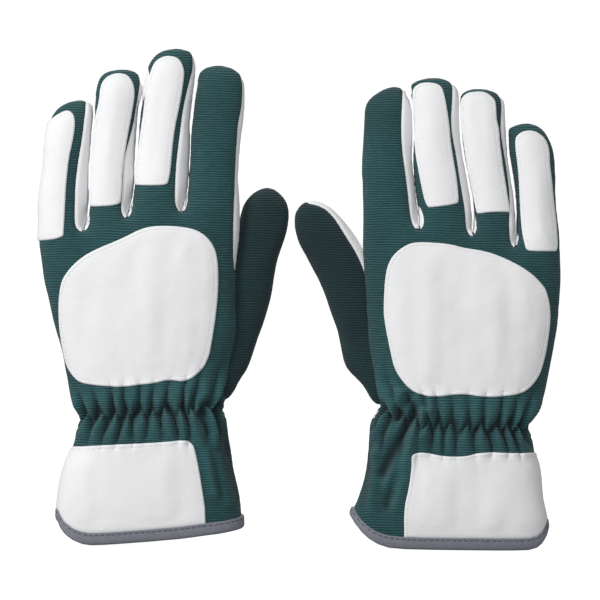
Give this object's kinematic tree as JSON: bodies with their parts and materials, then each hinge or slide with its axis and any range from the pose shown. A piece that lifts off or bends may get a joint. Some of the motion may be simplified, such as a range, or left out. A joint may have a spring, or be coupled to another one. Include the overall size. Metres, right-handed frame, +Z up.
{
  "type": "gardening gloves",
  "caption": "Gardening gloves, left and right, with ribbed fabric backs, leather palms, sewn patches on the backs, gathered wrists and wide bound cuffs; fingers and thumbs bend.",
  "frame": {"origin": "centre of the pair's footprint at the bottom of the cuffs, midway between the two gloves", "axes": "+Z up along the fingers, -Y is the side the backs of the hands face, +Y the palms, +X from the left glove to the right glove"},
  "size_m": [0.2885, 0.0374, 0.2743],
  "materials": {
    "green_ribbed_fabric": "fine horizontal ribs, dark teal green, slight sheen",
    "white_leather": "smooth off-white leather, satin",
    "grey_binding_tape": "grey woven tape with a row of stitches",
    "wrist_elastic": "woven elastic"
  },
  "bodies": {
    "left_hand": {"left_back_panel": "green_ribbed_fabric", "left_palm_panel": "white_leather", "left_cuff_panel": "green_ribbed_fabric", "left_cuff_binding": "grey_binding_tape", "left_wrist_elastic": "wrist_elastic", "left_knuckle_patch": "white_leather", "left_cuff_patch": "white_leather"},
    "left_index_base": {"left_index_base_back": "green_ribbed_fabric", "left_index_base_palm": "white_leather"},
    "left_index_tip": {"left_index_tip_back": "green_ribbed_fabric", "left_index_tip_palm": "white_leather"},
    "left_middle_base": {"left_middle_base_back": "green_ribbed_fabric", "left_middle_base_palm": "white_leather", "left_middle_patch": "white_leather"},
    "left_middle_tip": {"left_middle_tip_back": "green_ribbed_fabric", "left_middle_tip_palm": "white_leather"},
    "left_ring_base": {"left_ring_base_back": "green_ribbed_fabric", "left_ring_base_palm": "white_leather", "left_ring_patch": "white_leather"},
    "left_ring_tip": {"left_ring_tip_back": "green_ribbed_fabric", "left_ring_tip_palm": "white_leather"},
    "left_little_base": {"left_little_base_back": "green_ribbed_fabric", "left_little_base_palm": "white_leather", "left_little_patch": "white_leather"},
    "left_little_tip": {"left_little_tip_back": "green_ribbed_fabric", "left_little_tip_palm": "white_leather"},
    "left_thumb_base": {"left_thumb_base_back": "green_ribbed_fabric", "left_thumb_base_palm": "white_leather"},
    "left_thumb_tip": {"left_thumb_tip_back": "green_ribbed_fabric", "left_thumb_tip_palm": "white_leather"},
    "right_hand": {"right_back_panel": "green_ribbed_fabric", "right_palm_panel": "white_leather", "right_cuff_panel": "green_ribbed_fabric", "right_cuff_binding": "grey_binding_tape", "right_wrist_elastic": "wrist_elastic", "right_knuckle_patch": "white_leather", "right_cuff_patch": "white_leather"},
    "right_index_base": {"right_index_base_back": "green_ribbed_fabric", "right_index_base_palm": "white_leather"},
    "right_index_tip": {"right_index_tip_back": "green_ribbed_fabric", "right_index_tip_palm": "white_leather"},
    "right_middle_base": {"right_middle_base_back": "green_ribbed_fabric", "right_middle_base_palm": "white_leather", "right_middle_patch": "white_leather"},
    "right_middle_tip": {"right_middle_tip_back": "green_ribbed_fabric", "right_middle_tip_palm": "white_leather"},
    "right_ring_base": {"right_ring_base_back": "green_ribbed_fabric", "right_ring_base_palm": "white_leather", "right_ring_patch": "white_leather"},
    "right_ring_tip": {"right_ring_tip_back": "green_ribbed_fabric", "right_ring_tip_palm": "white_leather"},
    "right_little_base": {"right_little_base_back": "green_ribbed_fabric", "right_little_base_palm": "white_leather", "right_little_patch": "white_leather"},
    "right_little_tip": {"right_little_tip_back": "green_ribbed_fabric", "right_little_tip_palm": "white_leather"},
    "right_thumb_base": {"right_thumb_base_back": "green_ribbed_fabric", "right_thumb_base_palm": "white_leather"},
    "right_thumb_tip": {"right_thumb_tip_back": "green_ribbed_fabric", "right_thumb_tip_palm": "white_leather"}
  },
  "joints": [
    {"name": "left_index_knuckle_bend", "type": "hinge", "parent": "left_hand", "child": "left_index_base", "pos_m": [-0.0506, 0.00985, 0.18425], "axis": [-0.9979, 0, 0.0647], "range_deg": [0, 80], "stiffness_Nm_per_rad": 0.05},
    {"name": "left_index_middle_bend", "type": "hinge", "parent": "left_index_base", "child": "left_index_tip", "pos_m": [-0.04818, 0.00855, 0.2218], "axis": [-0.9974, 0, 0.072], "range_deg": [0, 90], "stiffness_Nm_per_rad": 0.05},
    {"name": "left_middle_knuckle_bend", "type": "hinge", "parent": "left_hand", "child": "left_middle_base", "pos_m": [-0.08067, 0.00985, 0.18425], "axis": [-0.995, 0, 0.1002], "range_deg": [0, 80], "stiffness_Nm_per_rad": 0.05},
    {"name": "left_middle_middle_bend", "type": "hinge", "parent": "left_middle_base", "child": "left_middle_tip", "pos_m": [-0.07659, 0.00875, 0.225], "axis": [-0.9936, 0, 0.1131], "range_deg": [0, 90], "stiffness_Nm_per_rad": 0.05, "deforming": ["left_middle_patch"]},
    {"name": "left_ring_knuckle_bend", "type": "hinge", "parent": "left_hand", "child": "left_ring_base", "pos_m": [-0.10698, 0.00985, 0.18025], "axis": [-0.9956, 0, 0.0941], "range_deg": [0, 80], "stiffness_Nm_per_rad": 0.05},
    {"name": "left_ring_middle_bend", "type": "hinge", "parent": "left_ring_base", "child": "left_ring_tip", "pos_m": [-0.10353, 0.00835, 0.217], "axis": [-0.9977, 0, 0.068], "range_deg": [0, 90], "stiffness_Nm_per_rad": 0.05, "deforming": ["left_ring_patch"]},
    {"name": "left_little_knuckle_bend", "type": "hinge", "parent": "left_hand", "child": "left_little_base", "pos_m": [-0.13245, 0.00985, 0.17225], "axis": [-0.9956, 0, 0.0936], "range_deg": [0, 80], "stiffness_Nm_per_rad": 0.05},
    {"name": "left_little_middle_bend", "type": "hinge", "parent": "left_little_base", "child": "left_little_tip", "pos_m": [-0.12933, 0.00735, 0.2057], "axis": [-0.9953, 0, 0.0969], "range_deg": [0, 90], "stiffness_Nm_per_rad": 0.05, "deforming": ["left_little_patch"]},
    {"name": "left_thumb_knuckle_bend", "type": "hinge", "parent": "left_hand", "child": "left_thumb_base", "pos_m": [-0.0363, 0.01815, 0.10565], "axis": [-0.9728, 0, 0.2316], "range_deg": [0, 30], "stiffness_Nm_per_rad": 0.05},
    {"name": "left_thumb_middle_bend", "type": "hinge", "parent": "left_thumb_base", "child": "left_thumb_tip", "pos_m": [-0.02404, 0.01815, 0.1574], "axis": [-0.9897, 0, 0.1429], "range_deg": [0, 55], "stiffness_Nm_per_rad": 0.05},
    {"name": "right_index_knuckle_bend", "type": "hinge", "parent": "right_hand", "child": "right_index_base", "pos_m": [0.04985, 0.00985, 0.17675], "axis": [-0.9984, 0, -0.0562], "range_deg": [0, 80], "stiffness_Nm_per_rad": 0.05},
    {"name": "right_index_middle_bend", "type": "hinge", "parent": "right_index_base", "child": "right_index_tip", "pos_m": [0.0478, 0.00855, 0.2133], "axis": [-0.9991, 0, 0.0429], "range_deg": [0, 90], "stiffness_Nm_per_rad": 0.05},
    {"name": "right_middle_knuckle_bend", "type": "hinge", "parent": "right_hand", "child": "right_middle_base", "pos_m": [0.08, 0.00985, 0.17675], "axis": [-0.9947, 0, -0.1026], "range_deg": [0, 80], "stiffness_Nm_per_rad": 0.05},
    {"name": "right_middle_middle_bend", "type": "hinge", "parent": "right_middle_base", "child": "right_middle_tip", "pos_m": [0.07605, 0.00875, 0.2153], "axis": [-0.9982, 0, -0.0606], "range_deg": [0, 90], "stiffness_Nm_per_rad": 0.05, "deforming": ["right_middle_patch"]},
    {"name": "right_ring_knuckle_bend", "type": "hinge", "parent": "right_hand", "child": "right_ring_base", "pos_m": [0.10621, 0.00985, 0.17375], "axis": [-0.9965, 0, -0.0831], "range_deg": [0, 80], "stiffness_Nm_per_rad": 0.05},
    {"name": "right_ring_middle_bend", "type": "hinge", "parent": "right_ring_base", "child": "right_ring_tip", "pos_m": [0.10311, 0.00835, 0.2112], "axis": [-0.9972, 0, -0.0751], "range_deg": [0, 90], "stiffness_Nm_per_rad": 0.05, "deforming": ["right_ring_patch"]},
    {"name": "right_little_knuckle_bend", "type": "hinge", "parent": "right_hand", "child": "right_little_base", "pos_m": [0.13155, 0.00985, 0.16725], "axis": [-0.9966, 0, -0.0824], "range_deg": [0, 80], "stiffness_Nm_per_rad": 0.05},
    {"name": "right_little_middle_bend", "type": "hinge", "parent": "right_little_base", "child": "right_little_tip", "pos_m": [0.12894, 0.00735, 0.1991], "axis": [-0.9953, 0, -0.097], "range_deg": [0, 90], "stiffness_Nm_per_rad": 0.05, "deforming": ["right_little_patch"]},
    {"name": "right_thumb_knuckle_bend", "type": "hinge", "parent": "right_hand", "child": "right_thumb_base", "pos_m": [0.03645, 0.01815, 0.10535], "axis": [-0.9607, 0, -0.2775], "range_deg": [0, 30], "stiffness_Nm_per_rad": 0.05},
    {"name": "right_thumb_middle_bend", "type": "hinge", "parent": "right_thumb_base", "child": "right_thumb_tip", "pos_m": [0.02195, 0.01815, 0.1558], "axis": [-0.9174, 0, -0.3979], "range_deg": [0, 55], "stiffness_Nm_per_rad": 0.05},
    {"name": "gloves_apart_slide", "type": "slide", "parent": "left_hand", "child": "right_hand", "axis": [1, 0, 0], "range_m": [0, 0.08]}
  ]
}
